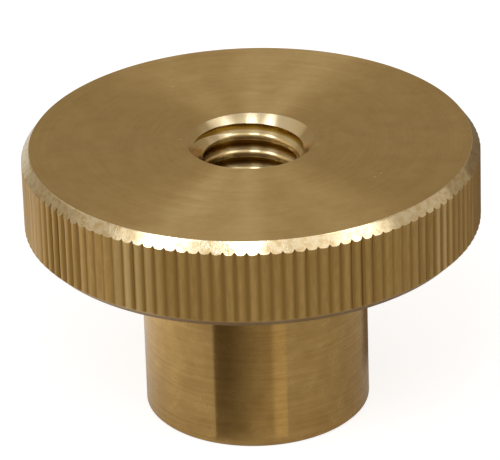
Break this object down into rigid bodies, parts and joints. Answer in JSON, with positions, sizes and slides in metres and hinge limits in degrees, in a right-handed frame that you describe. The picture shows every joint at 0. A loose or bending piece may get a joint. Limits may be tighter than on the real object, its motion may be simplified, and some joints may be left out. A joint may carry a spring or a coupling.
{
  "type": "knurled nut",
  "caption": "High knurled nut in turned brass: a straight-knurled disc head on a plain cylindrical collar, with a metric thread right through, for tightening by hand.",
  "frame": {"origin": "centre of the collar's end face, the face that bears on the work", "axes": "+Z along the thread's axis, from the collar's end face to the head; X and Y are across the knurled head"},
  "size_m": [0.024, 0.024, 0.015],
  "materials": {
    "brass": "turned, with fine tool marks; knurled rim"
  },
  "bodies": {
    "root": {"knurled_nut": "brass"}
  },
  "joints": []
}
